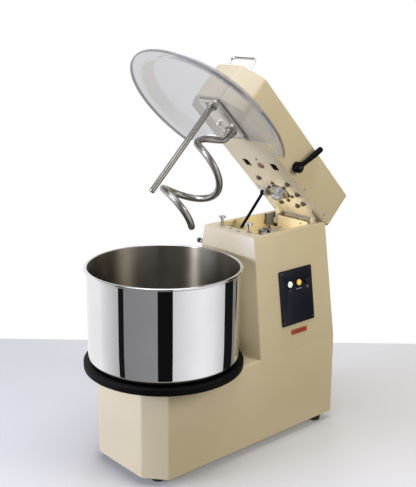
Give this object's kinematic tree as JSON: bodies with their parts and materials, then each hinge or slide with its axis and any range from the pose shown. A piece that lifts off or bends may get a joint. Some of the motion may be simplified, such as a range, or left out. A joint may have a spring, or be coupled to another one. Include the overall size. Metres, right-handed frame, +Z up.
{
  "type": "commercial spiral dough mixer",
  "caption": "Floor-standing spiral dough mixer with a tapered column, turning steel bowl, clear lid, spiral hook, breaker bar and a head that lifts on a gas strut.",
  "frame": {"origin": "on the floor under the middle of the whole machine with its head raised", "axes": "+Z up, front (bowl and raised lid) towards -Y, control panel and latch lever on the +X side"},
  "size_m": [0.4692, 0.8186, 1.0886],
  "materials": {
    "cream_paint": "smooth satin powder coat",
    "steel": "brushed",
    "polished_steel": "polished",
    "dark_steel": "oiled",
    "cast_metal": "cast, painted grey",
    "aluminium": "die cast",
    "black_plastic": "matt",
    "black_rubber": "matt",
    "brown_rubber": "matt",
    "clear_plastic": "clear, slightly grey",
    "panel_navy": "satin",
    "badge_red": "satin",
    "grey_plastic": "matt",
    "start_lens": "lit, greenish white",
    "stop_lens": "lit, amber"
  },
  "bodies": {
    "frame": {"body_shell": "cream_paint", "rear_panel": "cream_paint", "base_plate": "steel", "foot_front_left": "black_rubber", "foot_front_right": "black_rubber", "foot_rear_left": "black_rubber", "foot_rear_right": "black_rubber", "bowl_bearing_housing": "cast_metal", "motor": "aluminium", "motor_fan_cover": "black_plastic", "gearbox": "cast_metal", "motor_bracket": "steel", "bowl_chain": "dark_steel", "hinge_bracket_left": "cast_metal", "hinge_bracket_right": "cast_metal", "hinge_cross_plate": "cream_paint", "hinge_shaft": "steel", "latch_pin_left": "polished_steel", "latch_pin_right": "polished_steel", "switch_bracket": "steel", "head_switch": "black_plastic", "strut_lower_bracket": "steel", "control_panel": "panel_navy", "contact_block": "black_plastic", "badge_plate": "badge_red", "control_box": "grey_plastic", "cable_gland": "black_plastic", "side_bumper": "steel"},
    "bowl": {"bowl": "polished_steel", "turntable_ring": "black_plastic", "bowl_shaft": "steel", "bowl_sprocket": "steel"},
    "drive": {"drive_shaft": "steel", "lower_coupling": "cast_metal", "drive_sprocket": "steel"},
    "head": {"head_cover": "cream_paint", "head_underplate": "cream_paint", "hinge_lug_left": "cream_paint", "hinge_lug_right": "cream_paint", "lid": "clear_plastic", "spiral_mounting_plate": "steel", "breaker_bar": "steel", "spiral_bearing_housing": "cast_metal", "head_drive_bearing": "cast_metal", "head_chain": "dark_steel", "lift_handle": "polished_steel", "closing_bumper": "brown_rubber", "strut_upper_bracket": "steel"},
    "spiral": {"spiral_hook": "polished_steel", "spiral_sprocket": "steel"},
    "head_drive": {"head_drive_shaft": "steel", "head_drive_sprocket": "steel"},
    "latch": {"latch_shaft": "steel", "latch_lever": "black_plastic"},
    "strut_rod_body": {"strut_rod": "polished_steel"},
    "strut_tube_body": {"strut_cylinder": "black_plastic"},
    "start": {"start_button": "start_lens"},
    "stop": {"stop_button": "stop_lens"},
    "mode": {"mode_button": "black_plastic"}
  },
  "joints": [
    {"name": "bowl_spin", "type": "hinge", "parent": "frame", "child": "bowl", "pos_m": [0, -0.19672, 0.288], "axis": [0, 0, 1], "continuous": true},
    {"name": "drive_turn", "type": "hinge", "parent": "frame", "child": "drive", "pos_m": [0, 0.17828, 0.2], "axis": [0, 0, 1], "continuous": true},
    {"name": "head_tilt", "type": "hinge", "parent": "frame", "child": "head", "pos_m": [0, 0.30328, 0.573], "axis": [1, 0, 0], "range_deg": [0, 45], "stiffness_Nm_per_rad": 16, "springref_deg": -143.24},
    {"name": "spiral_spin", "type": "hinge", "parent": "head", "child": "spiral", "pos_m": [0, 0.04059, 0.87599], "axis": [0, 0.7071, 0.7071], "continuous": true},
    {"name": "head_drive_turn", "type": "hinge", "parent": "head", "child": "head_drive", "pos_m": [0, 0.23504, 0.68154], "axis": [0, 0.7071, 0.7071], "continuous": true},
    {"name": "latch_turn", "type": "hinge", "parent": "head", "child": "latch", "pos_m": [0, 0.18519, 0.7717], "axis": [1, 0, 0], "range_deg": [-25, 0]},
    {"name": "strut_swing", "type": "hinge", "parent": "frame", "child": "strut_rod_body", "pos_m": [-0.07, 0.06228, 0.48], "axis": [1, 0, 0], "range_deg": [-6.3, 0]},
    {"name": "strut_slide", "type": "slide", "parent": "strut_rod_body", "child": "strut_tube_body", "axis": [0, 0.6718, 0.7407], "range_m": [-0.0882, 0]},
    {"name": "start_press", "type": "slide", "parent": "frame", "child": "start", "axis": [-0.9896, 0, -0.1441], "range_m": [0, 0.002], "stiffness_N_per_m": 500, "springref_m": -0.002},
    {"name": "stop_press", "type": "slide", "parent": "frame", "child": "stop", "axis": [-0.9896, 0, -0.1441], "range_m": [0, 0.002], "stiffness_N_per_m": 500, "springref_m": -0.002},
    {"name": "mode_press", "type": "slide", "parent": "frame", "child": "mode", "axis": [-0.9896, 0, -0.1441], "range_m": [0, 0.002], "stiffness_N_per_m": 500, "springref_m": -0.002}
  ],
  "couplings": [
    {"joint": "drive_turn", "follows": "bowl_spin", "ratio": 8},
    {"joint": "spiral_spin", "follows": "bowl_spin", "ratio": 8},
    {"joint": "head_drive_turn", "follows": "bowl_spin", "ratio": 8},
    {"joint": "strut_swing", "follows": "head_tilt", "ratio": -0.13814},
    {"joint": "strut_slide", "follows": "head_tilt", "m_per_rad": -0.11168}
  ]
}
